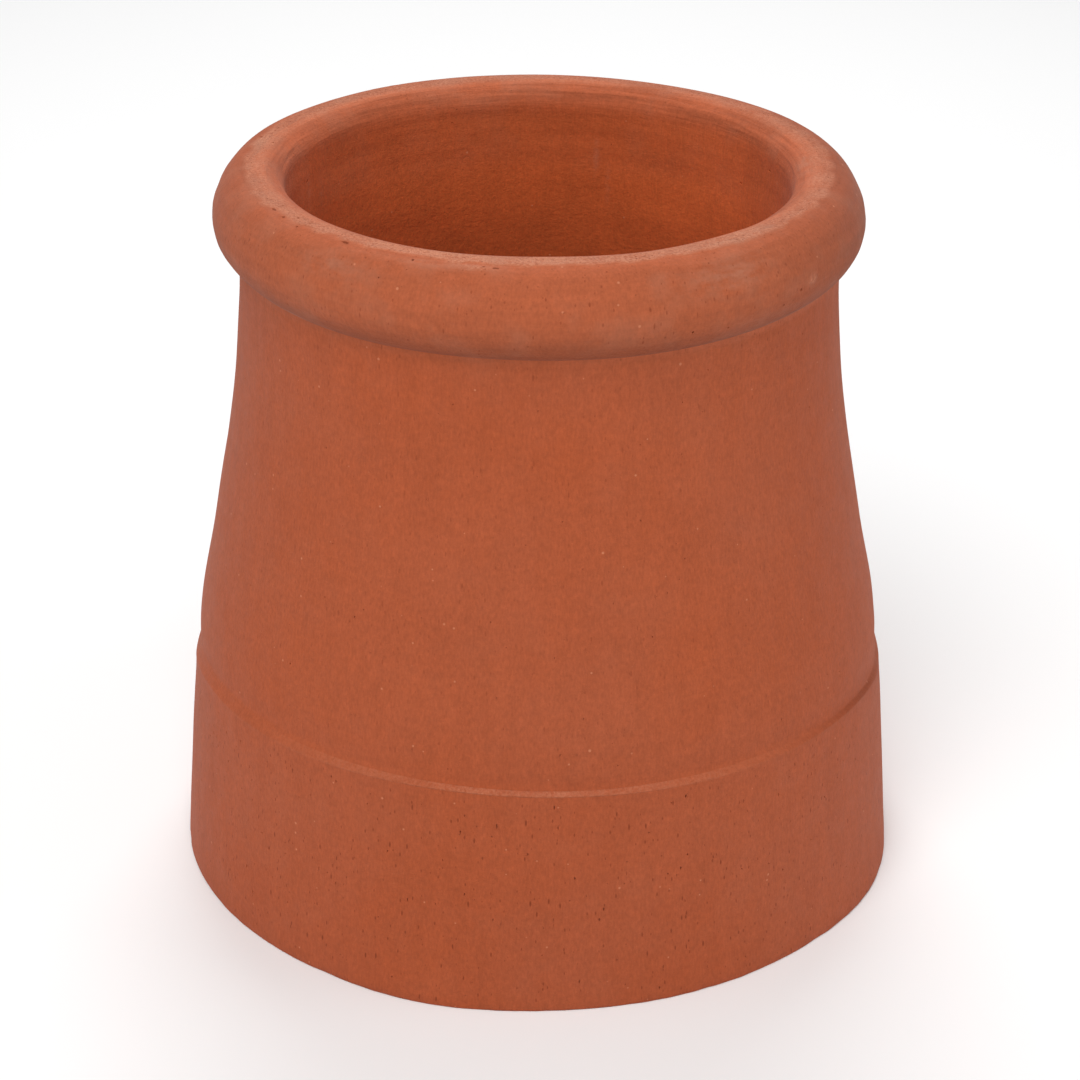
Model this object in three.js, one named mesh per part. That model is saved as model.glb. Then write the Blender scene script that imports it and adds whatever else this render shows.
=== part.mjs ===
// A roll-top chimney pot of fired clay: one hollow body, turned about the vertical axis.
// Millimetres, +Z up. The origin is the middle of the underside.

import * as THREE from 'three';

// Driving sizes of the whole pot
const height = 300;
const footRadius = 153; // outside, at the underside
const throatRadius = 100.5; // the open top that the smoke leaves by

// Thickness of the clay, measured level
const footWall = 22; // at the underside
const bodyWall = 22; // just above the ledge
const neckWall = 19.3; // under the roll

// Foot band and the soft ledge above it
const baseHeight = 92;
const baseTaper = 7.6; // how far the band draws in from the underside to the ledge
const ledgeRise = 6;
const ledgeDepth = 2.5;
const edgeRound = 0.8; // worn rounding of the two edges of the underside

// Body: an ogee sweep from the ledge to the neck
const shoulderFullness = 0.15; // share of the sweep's rise on which its foot stands upright
const neckFullness = 0.39; // share of the sweep's rise on which its top stands upright

// Roll around the top
const rollHeight = 38;
const rollProjection = 9.7; // how far it stands out past the neck
const crestWidth = 4; // level ring on top, on which the pot was stood to dry
const lipWidth = 10.5; // rounding from the crest into the throat, measured level
const lipDrop = 10; // the same rounding, measured down

// Steps of the facets
const facetsAround = 80;
const edgeSteps = 2;
const ledgeSteps = 4;
const sweepSteps = 12;
const innerSweepSteps = 10;
const rollSteps = 11;
const lipSteps = 5;

// Fired clay
const terracottaColour = 0xaf5c3c;
const terracottaRoughness = 0.86;

// Radii and heights that follow from the sizes above
const baseTopRadius = footRadius - baseTaper;
const bodyFootRadius = baseTopRadius - ledgeDepth;
const bodyFootHeight = baseHeight + ledgeRise;
const neckRadius = throatRadius + neckWall;
const crestInnerRadius = throatRadius + lipWidth;
const crestOuterRadius = crestInnerRadius + crestWidth;
const rollHalfWidth = neckRadius + rollProjection - crestOuterRadius;
const rollHalfHeight = rollHeight / 2;
const rollCentreHeight = height - rollHalfHeight;

// The roll is half an oval. It starts at the crease, where the oval meets the neck.
const creaseAngle = -Math.acos((neckRadius - crestOuterRadius) / rollHalfWidth);
const creaseHeight = rollCentreHeight + rollHalfHeight * Math.sin(creaseAngle);

// Points of an oval arc from one angle to another, in the plane of radius and height.
function arcPoints(radius, level, halfWidth, halfHeight, startAngle, endAngle, steps) {
  const clockwise = endAngle < startAngle;
  const arc = new THREE.EllipseCurve(
    radius, level, halfWidth, halfHeight, startAngle, endAngle, clockwise);
  return arc.getPoints(steps);
}

// Points of an ogee between two levels, upright at both ends.
function ogeePoints(lowRadius, lowLevel, highRadius, highLevel, lowFullness, highFullness, steps) {
  const rise = highLevel - lowLevel;
  const ogee = new THREE.CubicBezierCurve(
    new THREE.Vector2(lowRadius, lowLevel),
    new THREE.Vector2(lowRadius, lowLevel + lowFullness * rise),
    new THREE.Vector2(highRadius, highLevel - highFullness * rise),
    new THREE.Vector2(highRadius, highLevel));
  return ogee.getPoints(steps);
}

// Outside, from the underside up to the outer edge of the crest.
function outsidePoints() {
  const footEdge = arcPoints(
    footRadius - edgeRound, edgeRound, edgeRound, edgeRound, -Math.PI / 2, 0, edgeSteps);
  const evenFullness = 0.5;
  const ledge = ogeePoints(
    baseTopRadius, baseHeight, bodyFootRadius, bodyFootHeight, evenFullness, evenFullness, ledgeSteps);
  const sweep = ogeePoints(
    bodyFootRadius, bodyFootHeight, neckRadius, creaseHeight, shoulderFullness, neckFullness, sweepSteps);
  const roll = arcPoints(
    crestOuterRadius, rollCentreHeight, rollHalfWidth, rollHalfHeight, creaseAngle, Math.PI / 2, rollSteps);
  return [...footEdge, ...ledge, ...sweep.slice(1), ...roll.slice(1)];
}

// Inside, from the inner edge of the crest down to the underside.
function insidePoints() {
  const lip = arcPoints(
    crestInnerRadius, height - lipDrop, lipWidth, lipDrop, Math.PI / 2, Math.PI, lipSteps);
  const sweep = ogeePoints(
    bodyFootRadius - bodyWall, bodyFootHeight, throatRadius, creaseHeight,
    shoulderFullness, neckFullness, innerSweepSteps);
  sweep.reverse();
  const footEdge = arcPoints(
    footRadius - footWall + edgeRound, edgeRound, edgeRound, edgeRound,
    Math.PI, 1.5 * Math.PI, edgeSteps);
  return [...lip, ...sweep, ...footEdge];
}

// The closed section of the wall, turned once around the axis.
function chimneyPot() {
  const section = [...outsidePoints(), ...insidePoints()];
  section.push(section[0].clone());
  const geometry = new THREE.LatheGeometry(section, facetsAround);
  geometry.rotateX(Math.PI / 2);
  const material = new THREE.MeshStandardMaterial({
    name: 'terracotta',
    color: terracottaColour,
    roughness: terracottaRoughness,
    metalness: 0,
  });
  const mesh = new THREE.Mesh(geometry, material);
  mesh.name = 'chimney_pot';
  return mesh;
}

const object = new THREE.Group();
object.add(chimneyPot());

export default object;
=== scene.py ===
"""A roll-top terracotta chimney pot: its uneven surface, pits and fired clay, with its camera and light."""

import math

import bpy
import numpy as np
from mathutils import Matrix, Vector


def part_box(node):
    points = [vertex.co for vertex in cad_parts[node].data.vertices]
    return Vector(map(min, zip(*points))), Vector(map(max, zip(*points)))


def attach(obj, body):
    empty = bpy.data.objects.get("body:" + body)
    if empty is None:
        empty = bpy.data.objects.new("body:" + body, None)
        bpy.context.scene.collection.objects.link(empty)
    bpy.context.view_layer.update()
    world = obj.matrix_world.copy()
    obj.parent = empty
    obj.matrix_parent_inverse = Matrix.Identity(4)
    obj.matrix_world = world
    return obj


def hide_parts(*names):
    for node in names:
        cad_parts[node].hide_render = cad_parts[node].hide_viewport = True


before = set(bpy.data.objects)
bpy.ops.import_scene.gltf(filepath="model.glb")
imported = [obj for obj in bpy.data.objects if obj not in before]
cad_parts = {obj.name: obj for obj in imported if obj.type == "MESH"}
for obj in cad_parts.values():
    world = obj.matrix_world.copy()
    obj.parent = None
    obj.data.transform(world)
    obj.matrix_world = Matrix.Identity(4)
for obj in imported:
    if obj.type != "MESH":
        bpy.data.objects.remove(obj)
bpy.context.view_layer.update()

# Sizes in metres. The height and the foot's width come from the frame, and the others are those of the part.
# The foot is drawn in a little, so that its swells stay inside the part's own width.
MM = 0.001
LOW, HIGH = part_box("chimney_pot")
HEIGHT = HIGH[2] - LOW[2]
FOOT_INSET = 0.9 * MM
FOOT_RADIUS = HIGH[0] - FOOT_INSET
THROAT_RADIUS = 100.5 * MM
FOOT_WALL = 22 * MM
BODY_WALL = 22 * MM
NECK_WALL = 19.3 * MM
BASE_HEIGHT = 92 * MM
BASE_TAPER = 7.6 * MM - FOOT_INSET
LEDGE_RISE = 6 * MM
LEDGE_DEPTH = 2.5 * MM
EDGE_ROUND = 0.8 * MM
SHOULDER_FULLNESS = 0.15
NECK_FULLNESS = 0.39
ROLL_HEIGHT = 38 * MM
ROLL_PROJECTION = 9.7 * MM
CREST_WIDTH = 4 * MM
LIP_WIDTH = 10.5 * MM
LIP_DROP = 10 * MM

# Radii and heights that follow from them, as in the part
BASE_TOP_RADIUS = FOOT_RADIUS - BASE_TAPER
BODY_FOOT_RADIUS = BASE_TOP_RADIUS - LEDGE_DEPTH
BODY_FOOT_HEIGHT = BASE_HEIGHT + LEDGE_RISE
NECK_RADIUS = THROAT_RADIUS + NECK_WALL
CREST_INNER_RADIUS = THROAT_RADIUS + LIP_WIDTH
CREST_OUTER_RADIUS = CREST_INNER_RADIUS + CREST_WIDTH
ROLL_HALF_WIDTH = NECK_RADIUS + ROLL_PROJECTION - CREST_OUTER_RADIUS
ROLL_HALF_HEIGHT = ROLL_HEIGHT / 2
ROLL_CENTRE = HEIGHT - ROLL_HALF_HEIGHT
CREASE_ANGLE = -math.acos((NECK_RADIUS - CREST_OUTER_RADIUS) / ROLL_HALF_WIDTH)
CREASE_HEIGHT = ROLL_CENTRE + ROLL_HALF_HEIGHT * math.sin(CREASE_ANGLE)
LEDGE_SLOPE_RISE, LEDGE_SLOPE_DEPTH = 1.5 * MM, 1.9 * MM  # the crisp slope at the foot of the ledge
LEDGE_FULLNESS = 0.2
BROW_RISE = 0.5 * MM  # a narrow strip under the ledge that keeps its lower edge crisp

# Steps of the fine surface
COLUMNS = 360
EDGE_STEPS = 2
BASE_STEPS = 34
LEDGE_STEPS = 7
SHOULDER_STEPS = 4
SWEEP_STEPS = 58
ROLL_STEPS = 30
CREST_STEPS = 3
LIP_STEPS = 9
BORE_STEPS = 11
INNER_SWEEP_STEPS = 38
INNER_BASE_STEPS = 12
UNDERSIDE_STEPS = 4


def arc(radius, level, half_width, half_height, start, end, steps):
    """Points of an oval arc, as rows of radius and height."""
    angles = np.linspace(start, end, steps + 1)
    return np.column_stack([radius + half_width * np.cos(angles), level + half_height * np.sin(angles)])


def ogee(low, high, low_fullness, high_fullness, steps):
    """Points of a curve that stands upright at both ends."""
    rise = high[1] - low[1]
    corners = [low, (low[0], low[1] + low_fullness * rise), (high[0], high[1] - high_fullness * rise), high]
    t = np.linspace(0, 1, steps + 1)[:, None]
    weights = [(1 - t) ** 3, 3 * (1 - t) ** 2 * t, 3 * (1 - t) * t**2, t**3]
    return sum(weight * np.array(corner) for weight, corner in zip(weights, corners))


def straight(start, end, steps):
    """Points of a straight stretch."""
    t = np.linspace(0, 1, steps + 1)[:, None]
    return (1 - t) * np.array(start) + t * np.array(end)


def section():
    """The closed section of the wall, with the name of the stretch that each of its points starts."""
    quarter = math.pi / 2
    inner_foot = FOOT_RADIUS - FOOT_WALL
    base_top = (BASE_TOP_RADIUS, BASE_HEIGHT)
    brow_foot = (BASE_TOP_RADIUS, BASE_HEIGHT - BROW_RISE)
    slope_top = (BASE_TOP_RADIUS - LEDGE_SLOPE_DEPTH, BASE_HEIGHT + LEDGE_SLOPE_RISE)
    body_foot = (BODY_FOOT_RADIUS, BODY_FOOT_HEIGHT)
    inner_body_foot = (BODY_FOOT_RADIUS - BODY_WALL, BODY_FOOT_HEIGHT)
    inner_sweep = ogee(inner_body_foot, (THROAT_RADIUS, CREASE_HEIGHT),
                       SHOULDER_FULLNESS, NECK_FULLNESS, INNER_SWEEP_STEPS)
    stretches = [
        ("edge", arc(FOOT_RADIUS - EDGE_ROUND, EDGE_ROUND, EDGE_ROUND, EDGE_ROUND, -quarter, 0, EDGE_STEPS)),
        ("base", straight((FOOT_RADIUS, EDGE_ROUND), brow_foot, BASE_STEPS)),
        ("brow", straight(brow_foot, base_top, 1)),
        ("ledge", ogee(base_top, slope_top, LEDGE_FULLNESS, LEDGE_FULLNESS, LEDGE_STEPS)),
        ("shoulder", ogee(slope_top, body_foot, 0.0, 0.5, SHOULDER_STEPS)),
        ("sweep", ogee(body_foot, (NECK_RADIUS, CREASE_HEIGHT),
                       SHOULDER_FULLNESS, NECK_FULLNESS, SWEEP_STEPS)),
        ("roll", arc(CREST_OUTER_RADIUS, ROLL_CENTRE, ROLL_HALF_WIDTH, ROLL_HALF_HEIGHT,
                     CREASE_ANGLE, quarter, ROLL_STEPS)),
        ("crest", straight((CREST_OUTER_RADIUS, HEIGHT), (CREST_INNER_RADIUS, HEIGHT), CREST_STEPS)),
        ("lip", arc(CREST_INNER_RADIUS, HEIGHT - LIP_DROP, LIP_WIDTH, LIP_DROP,
                    quarter, 2 * quarter, LIP_STEPS)),
        ("bore", straight((THROAT_RADIUS, HEIGHT - LIP_DROP), (THROAT_RADIUS, CREASE_HEIGHT), BORE_STEPS)),
        ("inner sweep", inner_sweep[::-1]),
        ("inner base", straight(inner_body_foot, (inner_foot, EDGE_ROUND), INNER_BASE_STEPS)),
        ("inner edge", arc(inner_foot + EDGE_ROUND, EDGE_ROUND, EDGE_ROUND, EDGE_ROUND,
                           2 * quarter, 3 * quarter, EDGE_STEPS)),
        ("underside", straight((inner_foot + EDGE_ROUND, 0), (FOOT_RADIUS - EDGE_ROUND, 0), UNDERSIDE_STEPS)),
    ]
    points = np.concatenate([stretch[:-1] for _, stretch in stretches])
    names = np.concatenate([[name] * (len(stretch) - 1) for name, stretch in stretches])
    return points, names


def swell(angle, middle, width):
    """A soft bump of height one round a middle, all in degrees."""
    return np.exp(-((((np.degrees(angle) - middle + 180) % 360 - 180) / width) ** 2))


def ripple(seed, angle, along, turns, lengths, count):
    """A seeded relief of about unit height: waves that close round the pot and run along its section."""
    random = np.random.default_rng(seed)
    total = 0
    for _ in range(count):
        rounds = random.integers(turns[0], turns[1] + 1)
        slope = random.choice((-1, 1)) * 2 * math.pi / random.uniform(*lengths)
        total = total + np.cos(rounds * angle + slope * along + random.uniform(0, 2 * math.pi))
    return total * math.sqrt(2 / count)


# How far the real pot is out of true
LEAN = -0.00165  # sideways, as a share of the height
CREST_TILT = -0.0030  # of the crest, down towards +X
FOOT_OVAL, CREST_OVAL = -0.0016, 0.0010  # wider along X where positive
CREST_SINK = 0.20 * MM
LEDGE_DROOP = 7.5 * MM  # of the ledge at both sides
LEDGE_DROOPS = [(-3, 17, 1.0), (179, 14, 1.0), (95, 40, 0.3)]  # where it droops: middle, width, share
LEDGE_LIFT, LEDGE_LIFT_MIDDLE, LEDGE_LIFT_WIDTH = 2.4 * MM, -102, 36  # of the ledge at the front
MOVED_LOW, MOVED_HIGH = 35 * MM, 104 * MM  # heights between which the droop and the lift are felt
LEDGE_SOFTENING = 1.8  # by how much its slope is taller where it isn't crisp
CRISP_LEDGE = [(-90, 36), (-25, 22), (90, 50)]  # where it is crisp: middle, width
CREASE_LIFT, CREASE_REACH = 0.8 * MM, 9 * MM  # of the crease under the roll
CREASE_LIFT_MORE, CREASE_SIDES = 1.6 * MM, [(180, 34), (0, 40)]  # and at its sides: middle, width
FOOT_SWELLS = [(-106, 13, 1.8 * MM), (-25, 14, 1.8 * MM), (118, 22, 0.8 * MM)]  # middle, width, height
FOOT_SWELL_RISE = 16 * MM
GIRTHS = [  # where the outside is a little wider or narrower all round: height, reach, by how much
    (142 * MM, 14 * MM, -0.55 * MM), (238 * MM, 18 * MM, 0.45 * MM), (261 * MM, 8 * MM, 0.30 * MM),
    (277 * MM, 8 * MM, 0.35 * MM), (293 * MM, 6 * MM, -0.55 * MM),
]
GIRTH_START, GIRTH_FADE = 6 * MM, 4 * MM  # how far within the neck's radius they start, and their fade
CREASE_START = 5 * MM  # the same for the lift of the crease
EDGE_CHIPS = [  # at the foot's edge: middle, width in degrees, depth
    (-41.5, 1.6, 0.3 * MM), (-7, 2.2, 0.5 * MM), (-63, 1.0, 0.3 * MM), (-124, 1.4, 0.4 * MM),
    (-97, 0.9, 0.25 * MM), (-171, 1.8, 0.5 * MM), (152, 2.0, 0.7 * MM), (97, 1.5, 0.8 * MM),
    (58, 1.2, 0.6 * MM), (17, 2.0, 0.5 * MM),
]
EDGE_CHIP_RISE = 2.2 * MM
EDGE_RIPPLE = 0.05 * MM


def out_of_true(angle, radius, level):
    """Moves the points of the true surface to where the uneven pot has them."""
    share = level / HEIGHT
    near_crease = np.exp(-(((level - CREASE_HEIGHT) / CREASE_REACH) ** 2))
    near_crease = near_crease * (radius > NECK_RADIUS - CREASE_START)
    at_sides = sum(swell(angle, middle, width) for middle, width in CREASE_SIDES)
    level = level + near_crease * (CREASE_LIFT + CREASE_LIFT_MORE * at_sides)
    near_ledge = np.where(level < BASE_HEIGHT,
                          np.clip((level - MOVED_LOW) / (BASE_HEIGHT - MOVED_LOW), 0, 1),
                          np.clip((MOVED_HIGH - level) / (MOVED_HIGH - BASE_HEIGHT), 0, 1))
    near_ledge = near_ledge * near_ledge * (3 - 2 * near_ledge)
    droop = sum(part * swell(angle, middle, width) for middle, width, part in LEDGE_DROOPS)
    outside = radius > FOOT_RADIUS - FOOT_WALL / 2 - BASE_TAPER * np.clip(level / BASE_HEIGHT, 0, 1)
    lift = LEDGE_LIFT * swell(angle, LEDGE_LIFT_MIDDLE, LEDGE_LIFT_WIDTH) - LEDGE_DROOP * droop
    level = level + lift * near_ledge * outside
    on_outside = np.clip((radius - NECK_RADIUS + GIRTH_START) / GIRTH_FADE, 0, 1)
    for height, reach, wider in GIRTHS:
        radius = radius + on_outside * wider * np.exp(-(((level - height) / reach) ** 2))
    for middle, width, height in FOOT_SWELLS:
        rise = np.exp(-((level / FOOT_SWELL_RISE) ** 2))
        radius = radius + outside * height * swell(angle, middle, width) * rise
    oval = FOOT_OVAL + (CREST_OVAL - FOOT_OVAL) * share
    x = LEAN * level + radius * (1 + oval) * np.cos(angle)
    y = radius * (1 - oval) * np.sin(angle)
    z = level - CREST_SINK * share + CREST_TILT * share * radius * np.cos(angle)
    return np.stack([x, y, np.clip(z, 0, HEIGHT)], axis=-1)


# Relief along the normal, by stretch: height, rounds of its waves, length of its waves along the section
RELIEFS = {
    "base": [(0.10 * MM, (2, 9), (60 * MM, 200 * MM)), (0.05 * MM, (10, 60), (20 * MM, 90 * MM))],
    "ledge": [(0.08 * MM, (4, 30), (40 * MM, 90 * MM))],
    "sweep": [(0.12 * MM, (2, 7), (60 * MM, 240 * MM)), (0.045 * MM, (12, 70), (25 * MM, 110 * MM))],
    "roll": [(0.10 * MM, (2, 9), (25 * MM, 60 * MM)), (0.06 * MM, (0, 6), (6 * MM, 12 * MM))],
    "crest": [(0.12 * MM, (5, 40), (9 * MM, 30 * MM)), (0.06 * MM, (50, 110), (4 * MM, 12 * MM))],
    "lip": [(0.12 * MM, (2, 12), (12 * MM, 30 * MM)), (0.07 * MM, (0, 4), (4 * MM, 9 * MM))],
    "bore": [(0.12 * MM, (1, 8), (20 * MM, 60 * MM)), (0.07 * MM, (0, 5), (7 * MM, 14 * MM))],
    "inner sweep": [(0.18 * MM, (1, 8), (30 * MM, 90 * MM)), (0.12 * MM, (0, 5), (10 * MM, 24 * MM))],
    "inner base": [(0.25 * MM, (2, 12), (40 * MM, 120 * MM)), (0.12 * MM, (0, 6), (14 * MM, 30 * MM))],
}
CREST_WAVER = 0.28 * MM  # how far the edges of the crest wander in and out
DENTS = [  # broad soft dents: angle, height, half-width round, half-height, depth
    (-118, 205 * MM, 16 * MM, 22 * MM, 0.22 * MM),
    (-52, 170 * MM, 20 * MM, 30 * MM, 0.20 * MM),
    (-146, 60 * MM, 18 * MM, 16 * MM, 0.20 * MM),
    (64, 150 * MM, 24 * MM, 30 * MM, 0.30 * MM),
    (136, 215 * MM, 18 * MM, 24 * MM, 0.25 * MM),
    (15, 48 * MM, 20 * MM, 18 * MM, 0.25 * MM),
]


def soft(weights, passes):
    """Evens out a row of weights that runs round the section."""
    for _ in range(passes):
        weights = (np.roll(weights, 1) + 2 * weights + np.roll(weights, -1)) / 4
    return weights


def surface():
    """The uneven surface as a grid of points, with how far along the section each row is and its stretch."""
    points, names = section()
    steps = np.linalg.norm(np.roll(points, -1, axis=0) - points, axis=1)
    along = (np.cumsum(steps) - steps)[:, None]
    tangent = np.roll(points, -1, axis=0) - np.roll(points, 1, axis=0)
    normal = np.column_stack([tangent[:, 1], -tangent[:, 0]])
    normal /= np.linalg.norm(normal, axis=1)[:, None]
    angle = (np.arange(COLUMNS) * 2 * math.pi / COLUMNS)[None, :]
    radius = np.repeat(points[:, :1], COLUMNS, axis=1)
    level = np.repeat(points[:, 1:], COLUMNS, axis=1)
    crisp = sum(swell(angle, middle, width) for middle, width in CRISP_LEDGE)
    softness = LEDGE_SOFTENING * np.clip(1 - crisp, 0, 1)
    slope_rise = np.clip(level - BASE_HEIGHT, 0, LEDGE_SLOPE_RISE)
    left_over = np.clip((BODY_FOOT_HEIGHT - level) / (LEDGE_RISE - LEDGE_SLOPE_RISE), 0, 1)
    in_ledge = np.isin(names, ["ledge", "shoulder"])[:, None]
    level = level + in_ledge * softness * slope_rise * left_over
    relief = np.zeros_like(radius)
    for seed, (name, waves) in enumerate(RELIEFS.items()):
        weight = soft((names == name).astype(float), 2)[:, None]
        for order, (height, turns, lengths) in enumerate(waves):
            relief += weight * height * ripple(100 + 10 * seed + order, angle, along, turns, lengths, 14)
    on_outside = np.isin(names, ["base", "ledge", "sweep"])[:, None]
    for middle, height, half_width, half_height, depth in DENTS:
        across = swell(angle, middle, np.degrees(half_width / BODY_FOOT_RADIUS))
        relief -= on_outside * depth * across * np.exp(-(((level - height) / half_height) ** 2))
    at_crest = soft((names == "crest").astype(float), 5)[:, None]
    radius += at_crest * CREST_WAVER * ripple(7, angle, 0, (2, 26), (1, 1), 16)
    radius += relief * normal[:, :1]
    level += relief * normal[:, 1:]
    outer_edge = np.isin(names, ["edge", "base"])[:, None] * np.exp(-((level / EDGE_CHIP_RISE) ** 2))
    for middle, width, depth in EDGE_CHIPS:
        radius -= outer_edge * depth * swell(angle, middle, width)
    radius += outer_edge * EDGE_RIPPLE * ripple(9, angle, 0, (20, 120), (1, 1), 20)
    grid = out_of_true(angle, radius, np.maximum(level, 0))
    return grid, along[:, 0], names


# Pits by stretch: how many, and the least and greatest half-width and half-height
PIT_GROUPS = {
    "base": (430, (0.17 * MM, 0.42 * MM), (0.30 * MM, 0.95 * MM)),
    "sweep": (270, (0.16 * MM, 0.38 * MM), (0.18 * MM, 0.55 * MM)),
    "roll": (120, (0.16 * MM, 0.42 * MM), (0.14 * MM, 0.32 * MM)),
    "crest": (110, (0.18 * MM, 0.70 * MM), (0.18 * MM, 0.50 * MM)),
    "lip": (70, (0.16 * MM, 0.50 * MM), (0.15 * MM, 0.34 * MM)),
    "bore": (40, (0.20 * MM, 0.50 * MM), (0.20 * MM, 0.45 * MM)),
    "inner sweep": (60, (0.25 * MM, 0.60 * MM), (0.25 * MM, 0.55 * MM)),
    "inner base": (30, (0.25 * MM, 0.60 * MM), (0.25 * MM, 0.55 * MM)),
    "underside": (24, (0.30 * MM, 0.80 * MM), (0.30 * MM, 0.80 * MM)),
}
PIT_DEPTH = 0.9  # as a share of the mean half-size
PIT_SIDES = 8
PIT_FLOOR = 0.55  # size of the floor against the rim
PIT_MARGIN = 1.25  # clear room round a pit against its size

# Gouges and pits seen one by one: angle, stretch, place on it, half-width, half-height, depth
GOUGES = [
    (-149.5, "roll", 0.96, 2.0 * MM, 0.8 * MM, 0.7 * MM),
    (-145.0, "roll", 0.94, 1.0 * MM, 0.7 * MM, 0.6 * MM),
    (-142.8, "crest", 0.40, 0.9 * MM, 0.7 * MM, 0.6 * MM),
    (-139.0, "crest", 0.45, 0.8 * MM, 0.6 * MM, 0.5 * MM),
    (-139.6, "roll", 0.91, 0.7 * MM, 0.6 * MM, 0.5 * MM),
    (-127.2, "roll", 0.93, 2.2 * MM, 0.7 * MM, 0.6 * MM),
    (-112.5, "roll", 0.89, 0.7 * MM, 0.6 * MM, 0.7 * MM),
    (166.0, "roll", 0.97, 1.0 * MM, 0.9 * MM, 0.5 * MM),
    (169.0, "lip", 0.10, 0.8 * MM, 0.7 * MM, 0.5 * MM),
    (159.2, "bore", 0.11, 0.6 * MM, 0.6 * MM, 0.9 * MM),
    (160.8, "bore", 0.39, 0.7 * MM, 0.7 * MM, 1.0 * MM),
    (33.2, "bore", 0.65, 0.6 * MM, 0.6 * MM, 0.8 * MM),
    (20.8, "bore", 0.20, 1.0 * MM, 0.6 * MM, 0.7 * MM),
    (-40.8, "roll", 0.40, 0.7 * MM, 0.7 * MM, 1.0 * MM),
    (-97.4, "roll", 0.895, 1.5 * MM, 0.6 * MM, 0.6 * MM),
    (-99.6, "roll", 0.905, 0.6 * MM, 0.4 * MM, 0.5 * MM),
    (-64.0, "roll", 0.30, 0.5 * MM, 0.5 * MM, 0.6 * MM),
    (-57.0, "roll", 0.27, 0.5 * MM, 0.4 * MM, 0.5 * MM),
    (-45.0, "roll", 0.33, 0.5 * MM, 0.5 * MM, 0.6 * MM),
    (-134.2, "sweep", 0.26, 0.45 * MM, 0.5 * MM, 0.6 * MM),
    (-87.3, "base", 0.955, 0.35 * MM, 1.1 * MM, 0.5 * MM),
    (-96.0, "base", 0.86, 0.4 * MM, 1.6 * MM, 0.4 * MM),
    (121.0, "roll", 0.92, 2.4 * MM, 0.8 * MM, 0.6 * MM),
    (78.0, "crest", 0.5, 1.2 * MM, 0.8 * MM, 0.6 * MM),
    (40.0, "roll", 0.55, 1.6 * MM, 0.9 * MM, 0.5 * MM),
]


def bridge(outer, inner, middle, points):
    """Triangles between two loops that run the same way round a middle, seen in the grid's own plane."""
    def in_turn(loop):
        offsets = np.array([points[vertex] for vertex in loop]) - middle
        turns = np.arctan2(offsets[:, 0], offsets[:, 1]) % (2 * math.pi)
        order = np.argsort(turns, kind="stable")
        loop = [loop[place] for place in order]
        turns = turns[order]
        return loop + loop[:1], np.append(turns, turns[0] + 2 * math.pi)

    outer, outer_turns = in_turn(outer)
    inner, inner_turns = in_turn(inner)
    faces = []
    first, second = 0, 0
    while first < len(outer) - 1 or second < len(inner) - 1:
        outer_is_next = first < len(outer) - 1 and (
            second == len(inner) - 1 or outer_turns[first + 1] <= inner_turns[second + 1])
        if outer_is_next:
            faces.append((outer[first], outer[first + 1], inner[second]))
            first += 1
        else:
            faces.append((outer[first], inner[second + 1], inner[second]))
            second += 1
    return faces


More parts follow.
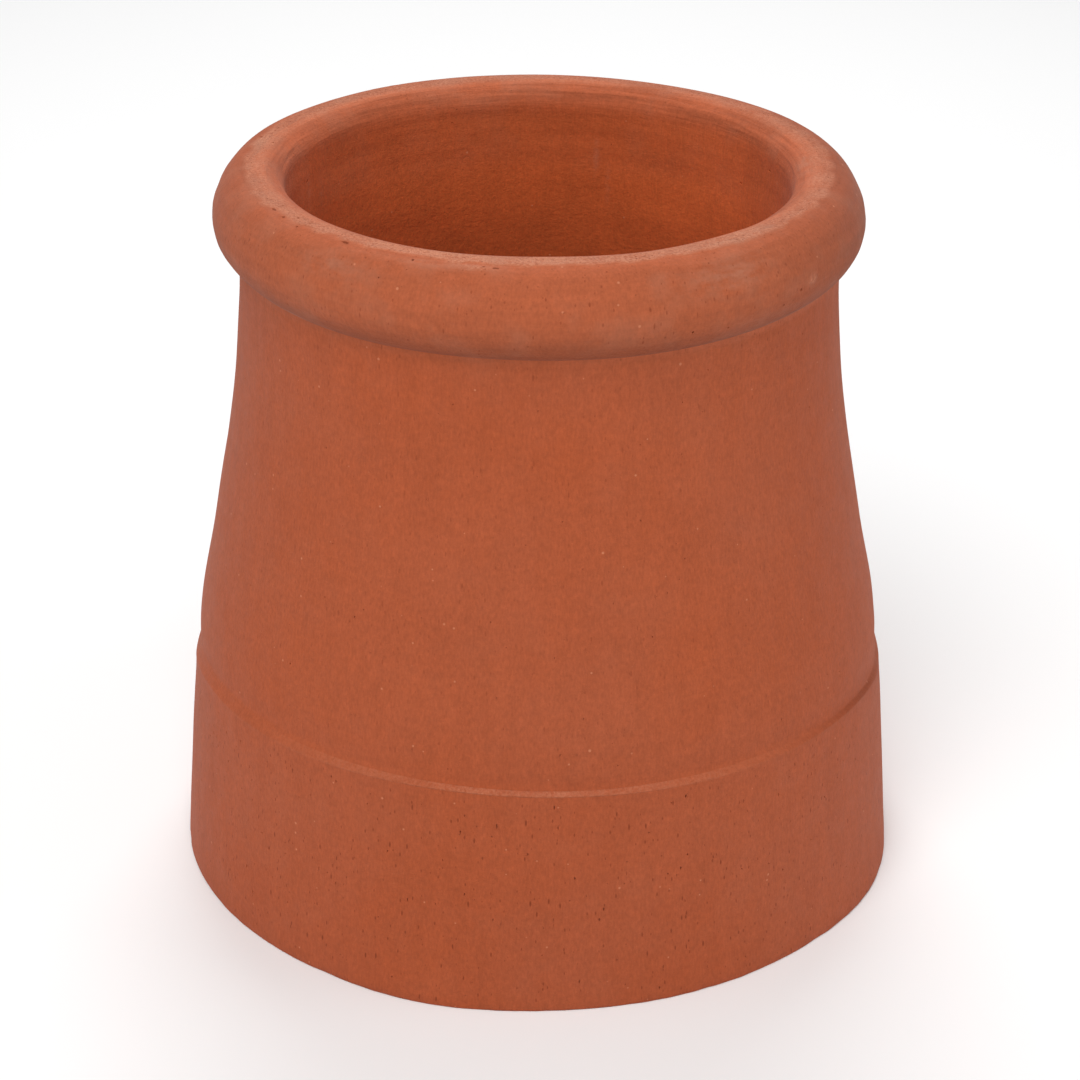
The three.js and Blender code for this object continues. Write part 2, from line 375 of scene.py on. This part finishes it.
class PittedGrid:
    """The grid of points as a closed mesh, into which pits are cut one by one."""

    def __init__(self, grid):
        self.grid = grid
        self.rows = grid.shape[0]
        self.points = [tuple(point) for point in grid.reshape(-1, 3)]
        self.places = [(row, column) for row in range(self.rows) for column in range(COLUMNS)]
        self.pits = [0.0] * len(self.points)
        self.faces = []
        self.rims = []
        self.taken = np.zeros((self.rows, COLUMNS), dtype=bool)

    def vertex(self, row, column):
        return (row % self.rows) * COLUMNS + column % COLUMNS

    def on_surface(self, row, column):
        """The point of the surface at a place between the grid's points."""
        low_row, low_column = math.floor(row), math.floor(column)
        up, side = row - low_row, column - low_column
        corners = [
            self.grid[(low_row + a) % self.rows, (low_column + b) % COLUMNS]
            for a in (0, 1) for b in (0, 1)]
        weights = [(1 - up) * (1 - side), (1 - up) * side, up * (1 - side), up * side]
        return sum(weight * corner for weight, corner in zip(weights, corners))

    def cut(self, row, column, half_width, half_height, depth, random):
        """Cuts a pit there, unless its cells are taken."""
        width = np.linalg.norm(self.on_surface(row, column + 1) - self.on_surface(row, column))
        height = np.linalg.norm(self.on_surface(row + 1, column) - self.on_surface(row, column))
        side, up = half_width / width, half_height / height
        low_row, high_row = math.floor(row - PIT_MARGIN * up), math.ceil(row + PIT_MARGIN * up)
        low_column = math.floor(column - PIT_MARGIN * side)
        high_column = math.ceil(column + PIT_MARGIN * side)
        rows, columns = np.arange(low_row, high_row), np.arange(low_column, high_column)
        cells = np.ix_(rows % self.rows, columns % COLUMNS)
        if self.taken[cells].any():
            return
        self.taken[cells] = True
        edge = (
            [(low_row, place) for place in range(low_column, high_column)]
            + [(place, high_column) for place in range(low_row, high_row)]
            + [(high_row, place) for place in range(high_column, low_column, -1)]
            + [(place, low_column) for place in range(high_row, low_row, -1)])
        plan = {self.vertex(*place): np.array(place, dtype=float) for place in edge}
        outer = [self.vertex(*place) for place in edge]
        across = self.on_surface(row, column + side) - self.on_surface(row, column - side)
        upward = self.on_surface(row + up, column) - self.on_surface(row - up, column)
        inward = -np.cross(across, upward)
        inward /= np.linalg.norm(inward)
        loops = []
        uneven = random.uniform(0.78, 1.12, PIT_SIDES)
        for size, sink in ((1, 0), (PIT_FLOOR, depth)):
            loop = []
            for corner in range(PIT_SIDES):
                turn = 2 * math.pi * corner / PIT_SIDES
                place = np.array([
                    row + up * size * uneven[corner] * math.sin(turn),
                    column + side * size * uneven[corner] * math.cos(turn),
                ])
                loop.append(len(self.points))
                plan[len(self.points)] = place
                self.points.append(tuple(self.on_surface(*place) + sink * inward))
                self.places.append(tuple(place))
                self.pits.append(1.0 if sink else 0.0)
            loops.append(loop)
        rim, floor = loops
        self.faces += bridge(outer, rim, np.array([row, column]), plan)
        self.faces += [
            (rim[corner], rim[(corner + 1) % PIT_SIDES], floor[(corner + 1) % PIT_SIDES], floor[corner])
            for corner in range(PIT_SIDES)]
        self.faces.append(tuple(floor))
        self.rims += [(rim[corner], rim[(corner + 1) % PIT_SIDES]) for corner in range(PIT_SIDES)]

    def close(self):
        """Adds the cells that no pit took."""
        for row, column in np.argwhere(~self.taken):
            self.faces.append((
                self.vertex(row, column), self.vertex(row, column + 1),
                self.vertex(row + 1, column + 1), self.vertex(row + 1, column)))


def cut_pits(pitted, names):
    """The pits and gouges that are seen one by one, and then the scattered ones."""
    random = np.random.default_rng(31)
    starts = {name: int(np.argmax(names == name)) for name in dict.fromkeys(names)}
    counts = {name: int(np.sum(names == name)) for name in starts}
    for degrees, name, share, half_width, half_height, depth in GOUGES:
        row = starts[name] + share * counts[name]
        pitted.cut(row, degrees % 360 / 360 * COLUMNS, half_width, half_height, depth, random)
    for name, (count, widths, heights) in PIT_GROUPS.items():
        for _ in range(count):
            row = starts[name] + random.uniform(0.04, 0.96) * counts[name]
            column = random.uniform(0, COLUMNS)
            half_width = widths[0] + (widths[1] - widths[0]) * random.random() ** 2
            half_height = heights[0] + (heights[1] - heights[0]) * random.random() ** 2
            depth = PIT_DEPTH * (half_width + half_height) / 2
            pitted.cut(row, column, half_width, half_height, depth, random)


# Marks for the material, by stretch
MARKS = {
    "dusty": {"crest": 0.6, "roll": 0.25, "lip": 0.3, "base": 0.05, "sweep": 0.04, "bore": 0.1},
    "turned": {"roll": 0.5, "crest": 1.5, "lip": 1.5, "bore": 0.25, "inner sweep": 0.15, "inner base": 0.15,
               "sweep": 0.15, "base": 0.10, "ledge": 0.2, "shoulder": 0.2},
    "pocked": {"base": 1.35, "brow": 1.0, "sweep": 0.6, "roll": 0.9, "crest": 1.7, "lip": 0.7,
               "bore": 0.15},
    "inside": {"bore": 0.70, "inner sweep": 1.0, "inner base": 1.0, "inner edge": 1.0},
    "rim": {"roll": 1.0, "crest": 1.0, "lip": 1.0},
}
RUB_OUTSIDE, RUB_INSIDE = 2.7 * MM, 9.5 * MM  # reach of the rubbed band from the crest's outer edge
RUB_OUTSIDE_FADE, RUB_INSIDE_FADE = 2.2 * MM, 4.5 * MM
RUB_WAVER = 0.6 * MM
RUB_ALL_ROUND = 0.46  # of the crest away from the front, as a share of the rubbing there
RUB_FRONT, RUB_FRONT_WIDTH = -90, 50  # middle and width of the rubbed front, in degrees
LEDGE_HIGHLIGHT, LEDGE_HIGHLIGHT_MIDDLE, LEDGE_HIGHLIGHT_WIDTH = 0.40, -92, 30  # the same for the painted highlight on the ledge's front, with its share
UNDERSIDE_SHADE_REACH, NECK_LIGHT_REACH = 13 * MM, 7 * MM  # of the painted shade on the roll's underside above the crease, and of the painted light on the neck below it
DEEP_REACH = 55 * MM  # over which the inside darkens below the throat, as painted shade

# Smears of pale dust, and painted sheen along the roll's underside: angle, stretch, place on it, half-width
# in degrees, half-height, strength
DUST_AND_SHEEN_SPOTS = [
    (-48.5, "crest", 0.5, 9.0, 3.0 * MM, 0.8),
    (2.8, "lip", 0.4, 6.0, 4.0 * MM, 0.8),
    (174.5, "crest", 0.5, 5.0, 3.0 * MM, 0.7),
    (-56.5, "roll", 0.72, 9.0, 7.0 * MM, 0.7),
    (-108.0, "roll", 0.92, 12.0, 2.0 * MM, 0.6),
    # painted sheen: the next three, a grey line under the roll at each side and a smear at its left front
    # that is partly dust
    (-127.0, "roll", 0.74, 9.0, 5.0 * MM, 0.45),
    (-142.0, "roll", 0.08, 14.0, 1.6 * MM, 0.9),
    (-33.0, "roll", 0.09, 13.0, 1.8 * MM, 0.8),
    (160.0, "bore", 0.60, 0.9, 8.0 * MM, 0.6),
    (154.0, "bore", 0.75, 0.7, 6.0 * MM, 0.5),
    (76.0, "bore", 0.80, 0.6, 7.0 * MM, 0.5),
    (73.0, "inner sweep", 0.03, 0.6, 7.0 * MM, 0.5),
]

# Small pale scrapes, given in the same way
SCRAPES = [
    (-37.5, "roll", 0.46, 0.9, 1.5 * MM, 1.0),
    (-101.5, "roll", 0.93, 3.0, 1.3 * MM, 0.8),
    (-121.0, "crest", 0.60, 3.0, 1.6 * MM, 0.7),
    (168.0, "crest", 0.40, 4.0, 2.0 * MM, 0.7),
]

# Painted shade and painted light, and lighter and darker clay, as a share added to its colour
NECK_PAINTED_LIGHT, UNDERSIDE_PAINTED_SHADE = 0.09, -0.36  # painted light on the neck just below the crease, and painted shade on the roll's underside just above it
CREST_TONE, DEEP_PAINTED_SHADE = -0.25, -0.16  # of the whole crest, and painted shade deep inside
TONES_AND_PAINTED_LIGHT = [  # patches: stretches, tone, middle and half-width in degrees
    # painted shade: the ledge darker at the right, where its slope faces away from the light
    (("ledge",), -0.26, -22, 18),
    # painted shade: the roll darker at its right and left sides, which turn away from the lights
    (("roll",), -0.25, 0, 42),
    (("roll",), -0.12, 180, 42),
    (("crest",), 0.31, -90, 50),
    # painted light: the inner walls lighter at the back right and back left, where light falls into the bore
    (("bore", "inner sweep"), 0.23, 28, 35),
    (("bore", "inner sweep"), 0.06, 155, 35),
    (("bore",), 0.13, 163, 9),
]


def worn_and_painted_light_marks(angle, along, row_of, names):
    """How rubbed each vertex is, with a painted highlight on the ledge's front; how dusty, with painted sheen
    under the roll; its tone, with painted shade and light; and its place along the section.
    """
    rows = np.arange(len(names))
    starts = {name: along[np.argmax(names == name)] for name in dict.fromkeys(names)}
    lengths = {name: along[np.flatnonzero(names == name)[-1]] - starts[name] for name in starts}
    place = np.interp(row_of, rows, along)

    def on(*stretches):
        return np.interp(row_of, rows, soft(np.isin(names, stretches).astype(float), 3))

    def patches(places):
        total = 0
        for middle, name, share, half_width, half_height, strength in places:
            off = (place - starts[name] - share * lengths[name]) / half_height
            total = total + strength * swell(angle, middle, half_width) * np.exp(-(off**2))
        return total

    from_crest = place - starts["crest"]
    waver = RUB_WAVER * ripple(11, angle, from_crest, (6, 60), (8 * MM, 30 * MM), 24)
    outside = np.clip((RUB_OUTSIDE + waver + from_crest) / RUB_OUTSIDE_FADE, 0, 1)
    within = np.clip((RUB_INSIDE - from_crest) / RUB_INSIDE_FADE, 0, 1)
    at_front = swell(angle, RUB_FRONT, RUB_FRONT_WIDTH)
    rubbed_and_highlight = outside * within * (RUB_ALL_ROUND + (1 - RUB_ALL_ROUND) * at_front)
    # a painted highlight on the ledge's front, laid in with the rubbing of the crest
    on_ledge = np.interp(row_of, rows, (names == "ledge").astype(float))
    ledge_front = swell(angle, LEDGE_HIGHLIGHT_MIDDLE, LEDGE_HIGHLIGHT_WIDTH)
    rubbed_and_highlight = np.maximum(rubbed_and_highlight, LEDGE_HIGHLIGHT * on_ledge * ledge_front)
    rubbed_and_highlight = np.clip(rubbed_and_highlight + patches(SCRAPES), 0, 1)
    # painted shade on the roll's underside and painted light on the top of the neck, by distance from the
    # crease
    above_crease = place - starts["roll"]
    underside = (above_crease > 0) * np.exp(-((above_crease / UNDERSIDE_SHADE_REACH) ** 2))
    neck_top_light = (above_crease <= 0) * np.exp(-((above_crease / NECK_LIGHT_REACH) ** 2))
    depth = np.clip((place - starts["inner sweep"]) / DEEP_REACH, 0, 1)
    tone_and_painted_light = (
        NECK_PAINTED_LIGHT * neck_top_light + UNDERSIDE_PAINTED_SHADE * underside + CREST_TONE * on("crest")
        + DEEP_PAINTED_SHADE * on("inner sweep", "inner base") * depth)
    for stretches, amount, middle, width in TONES_AND_PAINTED_LIGHT:
        tone_and_painted_light = tone_and_painted_light + amount * on(*stretches) * swell(angle, middle, width)
    return {"rubbed_and_highlight": rubbed_and_highlight, "dust_and_sheen_spots": np.clip(patches(DUST_AND_SHEEN_SPOTS), 0, 1), "tone_and_painted_light": tone_and_painted_light, "along": place}


def pot_mesh():
    """The pot's mesh, with the pits, the rubbed crest and the inside marked for its material."""
    grid, along, names = surface()
    pitted = PittedGrid(grid)
    cut_pits(pitted, names)
    pitted.close()
    mesh = bpy.data.meshes.new("chimney_pot_clay")
    mesh.from_pydata(pitted.points, [], pitted.faces)
    mesh.polygons.foreach_set("use_smooth", np.ones(len(mesh.polygons), dtype=bool))
    ends = np.empty(len(mesh.edges) * 2, dtype=np.int64)
    mesh.edges.foreach_get("vertices", ends)
    ends = np.sort(ends.reshape(-1, 2), axis=1)
    rims = np.sort(np.array(pitted.rims), axis=1)
    count = len(pitted.points)
    sharp = np.isin(ends[:, 0] * count + ends[:, 1], rims[:, 0] * count + rims[:, 1])
    mesh.edges.foreach_set("use_edge_sharp", sharp)
    row_of, column_of = np.array(pitted.places).T
    marks = worn_and_painted_light_marks(column_of * 2 * math.pi / COLUMNS, along, row_of, names)
    marks["pit"] = np.array(pitted.pits)
    for mark_name, shares in MARKS.items():
        by_row = soft(np.array([shares.get(name, 0.0) for name in names]), 4)
        marks[mark_name] = np.interp(row_of, np.arange(len(names)), by_row)
    for mark_name, values in marks.items():
        mark(mesh, mark_name, values)
    mesh.update()
    return mesh


def mark(mesh, name, values):
    """Keeps a value for each vertex, for the material to read."""
    attribute = mesh.attributes.new(name, "FLOAT", "POINT")
    attribute.data.foreach_set("value", values.astype(np.float32))


class Clay:
    """Makes the nodes of a material and joins them."""

    def __init__(self, name):
        self.material = bpy.data.materials.new(name)
        self.material.use_nodes = True
        self.tree = self.material.node_tree
        self.shader = self.tree.nodes["Principled BSDF"]
        self.position = self.add("ShaderNodeTexCoord").outputs["Object"]
        parts = self.add("ShaderNodeSeparateXYZ", {"Vector": self.position}).outputs
        places = {"X": parts["X"], "Y": parts["Y"], "Z": self.value("along")}
        self.unrolled = self.add("ShaderNodeCombineXYZ", places).outputs["Vector"]

    def add(self, kind, inputs=None, **settings):
        """A node with its settings and with its inputs set or joined."""
        node = self.tree.nodes.new(kind)
        for name, value in settings.items():
            setattr(node, name, value)
        for name, value in (inputs or {}).items():
            if isinstance(value, bpy.types.NodeSocket):
                self.tree.links.new(value, node.inputs[name])
            else:
                node.inputs[name].default_value = value
        return node

    def math(self, operation, first, second=0.0):
        return self.add("ShaderNodeMath", {0: first, 1: second}, operation=operation).outputs[0]

    def spread(self, value, low, high, to_low=0.0, to_high=1.0):
        """Maps a value from one range to another, and holds it there."""
        inputs = {"Value": value, "From Min": low, "From Max": high, "To Min": to_low, "To Max": to_high}
        return self.add("ShaderNodeMapRange", inputs).outputs["Result"]

    def between(self, noise, low, high):
        """Brings a noise, nearly all of which lies from 0.3 to 0.7, to between two values."""
        return self.spread(noise, 0.3, 0.7, low, high)

    def stretched(self, stretch, shift, place=None):
        """The place in the clay, or another given place, stretched and moved by a shift."""
        moved = (shift, shift / 2, shift / 3)
        inputs = {"Vector": place or self.position, "Scale": stretch, "Location": moved}
        return self.add("ShaderNodeMapping", inputs).outputs["Vector"]

    def noise(self, size, detail=2.0, stretch=(1, 1, 1), shift=0.0, roughness=0.5, place=None):
        """Clouds of about a given size in metres."""
        vector = self.stretched(stretch, shift, place)
        inputs = {"Vector": vector, "Scale": 1 / size, "Detail": detail, "Roughness": roughness}
        return self.add("ShaderNodeTexNoise", inputs).outputs["Fac"]

    def specks(self, spacing, size, share, shift, stretch=(1, 1, 1)):
        """Specks: a given size in a share of cells of a given spacing, all in metres."""
        inputs = {"Vector": self.stretched(stretch, shift), "Scale": 1 / spacing}
        cells = self.add("ShaderNodeTexVoronoi", inputs)
        parts = self.add("ShaderNodeSeparateColor", {"Color": cells.outputs["Color"]})
        chosen = self.math("LESS_THAN", parts.outputs["Red"], share)
        reach = self.spread(parts.outputs["Green"], 0, 1, 0.45 * size / spacing, size / spacing)
        near = self.math("SUBTRACT", 1.0, self.math("DIVIDE", cells.outputs["Distance"], reach))
        return self.math("MULTIPLY", chosen, self.spread(near, 0, 0.45))

    def blend(self, amount, first, second):
        """From the first colour to the second by an amount."""
        mix = self.add("ShaderNodeMix", {"Factor": amount}, data_type="RGBA")
        for socket, value in ((mix.inputs[6], first), (mix.inputs[7], second)):
            if isinstance(value, bpy.types.NodeSocket):
                self.tree.links.new(value, socket)
            else:
                socket.default_value = (*value, 1)
        return mix.outputs[2]

    def times(self, colour, factor):
        """A colour made lighter or darker by a factor."""
        scale = self.add("ShaderNodeVectorMath", {0: colour}, operation="SCALE")
        if isinstance(factor, bpy.types.NodeSocket):
            self.tree.links.new(factor, scale.inputs["Scale"])
        else:
            scale.inputs["Scale"].default_value = factor
        return scale.outputs["Vector"]

    def value(self, name):
        """A value that the mesh keeps for each vertex."""
        return self.add("ShaderNodeAttribute", attribute_name=name).outputs["Fac"]

    def bump(self, height, distance, below=None):
        inputs = {"Height": height, "Strength": 1.0, "Distance": distance}
        if below is not None:
            inputs["Normal"] = below
        return self.add("ShaderNodeBump", inputs).outputs["Normal"]


# Colours of the clay, as linear light
ORANGE_CLAY = (0.420, 0.0885, 0.0300)
PINK_CLAY = (0.418, 0.0950, 0.0370)
RIM_CLAY = (0.438, 0.1060, 0.0420)
INSIDE_CLAY = (0.545, 0.1120, 0.0280)
# the rubbed colour also paints the highlight on the ledge's front
RUBBED_AND_HIGHLIGHT_CLAY = (0.650, 0.2450, 0.1370)
# the dust colour also paints the sheen under the roll
DUST_AND_SHEEN_CLAY = (0.450, 0.2100, 0.1350)
PALE_GROG = (0.660, 0.2500, 0.1300)
DARK_GROG = (0.200, 0.0340, 0.0100)
PIT_SHADE = 0.62
DUST_AND_SHEEN_COVER = 0.55

# Finish of the clay
ROUGHNESS_LOW, ROUGHNESS_HIGH = 0.76, 0.90
SPECULAR_LEVEL = 0.17
SHEEN_WEIGHT, SHEEN_ROUGHNESS = 0.052, 0.5
SANDY_RELIEF, TURNED_RELIEF, COARSE_RELIEF, GRITTY_RELIEF = 0.22 * MM, 0.42 * MM, 0.45 * MM, 1.1 * MM

# Stretches of the marks: the same each way, round the pot, drawn up it, and less so
EVEN, RINGS, TALL, UPRIGHT = (1, 1, 1), (0.07, 0.07, 1), (1, 1, 0.30), (1, 1, 0.45)
CLOUDS, BRUSHED = 0.08, 0.13  # how much lighter or darker they are
GRAIN = [  # size, detail, stretch, shift and roughness of a noise, and how much lighter or darker it is
    ((30 * MM, 2, EVEN, 2.7, 0.5), 0.012),
    ((6 * MM, 3, (1, 1, 0.12), 3.3, 0.5), 0.035),
    ((2.4 * MM, 3, EVEN, 5.9, 0.7), 0.07),
    ((0.9 * MM, 2, (1, 1, 0.35), 6.7, 0.5), 0.08),
]


def fired_and_painted_light_colour(clay):
    """The clay as fired: faint clouds, fine grain and turning marks, lighter or darker by its tone and by
    painted shade and light.
    """
    colour = clay.blend(clay.spread(clay.noise(85 * MM, 2), 0.35, 0.65), ORANGE_CLAY, PINK_CLAY)
    colour = clay.blend(clay.value("rim"), colour, RIM_CLAY)
    colour = clay.blend(clay.value("inside"), colour, INSIDE_CLAY)
    clouds = clay.between(clay.noise(22 * MM, 4, shift=1.3), -CLOUDS, CLOUDS)
    brushed = clay.between(clay.noise(3.2 * MM, 4, RINGS, 4.1, 0.6, clay.unrolled), -BRUSHED, BRUSHED)
    shades = [clay.between(clay.noise(*noise), 1 - amount, 1 + amount) for noise, amount in GRAIN]
    shades += [
        clay.math("ADD", 1.0, clay.math("MULTIPLY", clouds, clay.value("inside"))),
        clay.math("ADD", 1.0, clay.math("MULTIPLY", brushed, clay.value("turned"))),
        # the tone also holds the painted shade and the painted light
        clay.math("ADD", 1.0, clay.value("tone_and_painted_light")),
    ]
    for shade in shades:
        colour = clay.times(colour, shade)
    return colour


def worn_and_painted_light_colour(clay, colour, sand):
    """The fired colour under the rubbing and the painted highlight on the ledge, the dust and the painted
    sheen, the specks of grog and the painted shade in the pits.
    """
    patches = clay.noise(11 * MM, 3, (0.6, 0.6, 1), 10.3, 0.6, clay.unrolled)
    rubbed_and_highlight = clay.math("MULTIPLY", clay.value("rubbed_and_highlight"), clay.spread(sand, 0.38, 0.62, 0.25, 1.30))
    rubbed_and_highlight = clay.math("MULTIPLY", rubbed_and_highlight, clay.spread(patches, 0.35, 0.65, 0.70, 1.25))
    # the rubbing also lays in the painted highlight on the ledge's front
    colour = clay.blend(rubbed_and_highlight, colour, RUBBED_AND_HIGHLIGHT_CLAY)
    drifts = clay.spread(clay.noise(16 * MM, 4, shift=8.3), 0.50, 0.68)
    ragged = clay.spread(clay.noise(3.5 * MM, 4, (0.4, 0.4, 1), 9.1, 0.65, clay.unrolled), 0.35, 0.60)
    drifts = clay.math("MULTIPLY", drifts, clay.value("dusty"))
    dust_and_sheen_smears = clay.math("MULTIPLY", ragged, clay.value("dust_and_sheen_spots"))
    # the smears hold painted sheen as well as dust
    dust_and_sheen = clay.math("ADD", drifts, dust_and_sheen_smears)
    colour = clay.blend(clay.math("MULTIPLY", dust_and_sheen, DUST_AND_SHEEN_COVER), colour, DUST_AND_SHEEN_CLAY)
    pale = clay.specks(4.0 * MM, 0.70 * MM, 0.10, 11.0)
    dashes = clay.math("MULTIPLY", clay.value("pocked"), clay.specks(2.2 * MM, 0.50 * MM, 0.30, 13.0, TALL))
    dots = clay.math("MULTIPLY", clay.value("pocked"), clay.specks(1.7 * MM, 0.48 * MM, 0.24, 15.0, UPRIGHT))
    grog = [(pale, 0.60, PALE_GROG), (dashes, 0.58, DARK_GROG), (dots, 0.50, DARK_GROG)]
    for amount, strength, tint in grog:
        colour = clay.blend(clay.math("MULTIPLY", amount, strength), colour, tint)
    return clay.times(colour, clay.spread(clay.value("pit"), 0, 1, 1.0, PIT_SHADE))


def fine_relief(clay, sand):
    """Relief too fine for the mesh: sand all over, turning marks, a coarser inside and a gritty crest."""
    rounds = clay.noise(2.0 * MM, 3, RINGS, 19.0, 0.5, clay.unrolled)
    coarse = clay.noise(2.8 * MM, 3, shift=29.0, roughness=0.7)
    normal = clay.bump(clay.noise(1.0 * MM, 3, shift=23.0, roughness=0.7), SANDY_RELIEF)
    normal = clay.bump(clay.math("MULTIPLY", rounds, clay.value("turned")), TURNED_RELIEF, normal)
    normal = clay.bump(clay.math("MULTIPLY", coarse, clay.value("inside")), COARSE_RELIEF, normal)
    return clay.bump(clay.math("MULTIPLY", sand, clay.value("rubbed_and_highlight")), GRITTY_RELIEF, normal)


def terracotta():
    """Fired clay: even orange, finely grained and specked, paler on the rubbed crest, deeper inside."""
    clay = Clay("terracotta")
    sand = clay.noise(1.2 * MM, 4, shift=7.7, roughness=0.75)
    links, sockets = clay.tree.links, clay.shader.inputs
    links.new(worn_and_painted_light_colour(clay, fired_and_painted_light_colour(clay), sand), sockets["Base Color"])
    roughness = clay.between(clay.noise(6 * MM, 3, shift=17.0), ROUGHNESS_LOW, ROUGHNESS_HIGH)
    links.new(roughness, sockets["Roughness"])
    links.new(fine_relief(clay, sand), sockets["Normal"])
    sockets["Specular IOR Level"].default_value = SPECULAR_LEVEL
    sockets["Sheen Weight"].default_value = SHEEN_WEIGHT
    sockets["Sheen Roughness"].default_value = SHEEN_ROUGHNESS
    return clay.material


pot = bpy.data.objects.new("chimney_pot_clay", pot_mesh())
bpy.context.scene.collection.objects.link(pot)
pot.data.materials.append(terracotta())
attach(pot, "root")
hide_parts("chimney_pot")

# Camera, at the height, distance and lens that the outline in the photograph fits
CAMERA_PLACE = Vector((0.0006, -1.12585, 0.6792))
CAMERA_PITCH = math.radians(25.89)
CAMERA_ROLL = 0.0056
CAMERA_LENS = 99.05

camera = bpy.data.objects.new("camera", bpy.data.cameras.new("camera"))
bpy.context.scene.collection.objects.link(camera)
camera.data.lens = CAMERA_LENS
camera.data.sensor_width = 36.0
camera.data.clip_start = 0.05
camera.data.clip_end = 60.0
camera.matrix_world = (
    Matrix.Translation(CAMERA_PLACE)
    @ Matrix.Rotation(math.pi / 2 - CAMERA_PITCH, 4, "X")
    @ Matrix.Rotation(CAMERA_ROLL, 4, "Z")
)
bpy.context.scene.camera = camera

# Floor
FLOOR_SPREAD = 12.0
floor_mesh = bpy.data.meshes.new("floor")
corners = [(-1, -1), (1, -1), (1, 1), (-1, 1)]
floor_mesh.from_pydata([(x * FLOOR_SPREAD, y * FLOOR_SPREAD, 0) for x, y in corners], [], [(0, 1, 2, 3)])
floor = bpy.data.objects.new("floor", floor_mesh)
bpy.context.scene.collection.objects.link(floor)
floor_material = bpy.data.materials.new("pale_floor")
floor_material.use_nodes = True
floor_shader = floor_material.node_tree.nodes["Principled BSDF"]
floor_shader.inputs["Base Color"].default_value = (0.97, 0.97, 0.97, 1)
floor_shader.inputs["Roughness"].default_value = 0.9
floor_shader.inputs["Specular IOR Level"].default_value = 0.0
floor.data.materials.append(floor_material)

# Light: an even white studio, with broad soft lights in front, behind and low at both sides
STUDIO_STRENGTH = 0.29
LIGHT_SIZE = 1.4
LIGHT_AIM = Vector((0, 0, 0.2))
LIGHTS = [  # name, place, power
    ("front", Vector((-0.33, -1.22, 2.00)), 31.0),
    ("back", Vector((0.0, 1.41, 1.89)), 23.0),
    ("right", Vector((2.04, -0.36, 0.95)), 7.8),
    ("left", Vector((-2.04, -0.36, 0.95)), 3.0),
]

world = bpy.data.worlds.new("studio")
bpy.context.scene.world = world
world.use_nodes = True
world.node_tree.nodes["Background"].inputs["Color"].default_value = (1, 1, 1, 1)
world.node_tree.nodes["Background"].inputs["Strength"].default_value = STUDIO_STRENGTH
for name, place, power in LIGHTS:
    lamp = bpy.data.objects.new(name, bpy.data.lights.new(name, "AREA"))
    bpy.context.scene.collection.objects.link(lamp)
    lamp.data.shape = "DISK"
    lamp.data.size = LIGHT_SIZE
    lamp.data.energy = power
    lamp.location = place
    lamp.rotation_euler = (LIGHT_AIM - place).to_track_quat("-Z", "Y").to_euler()
bpy.context.scene.view_settings.view_transform = "Standard"
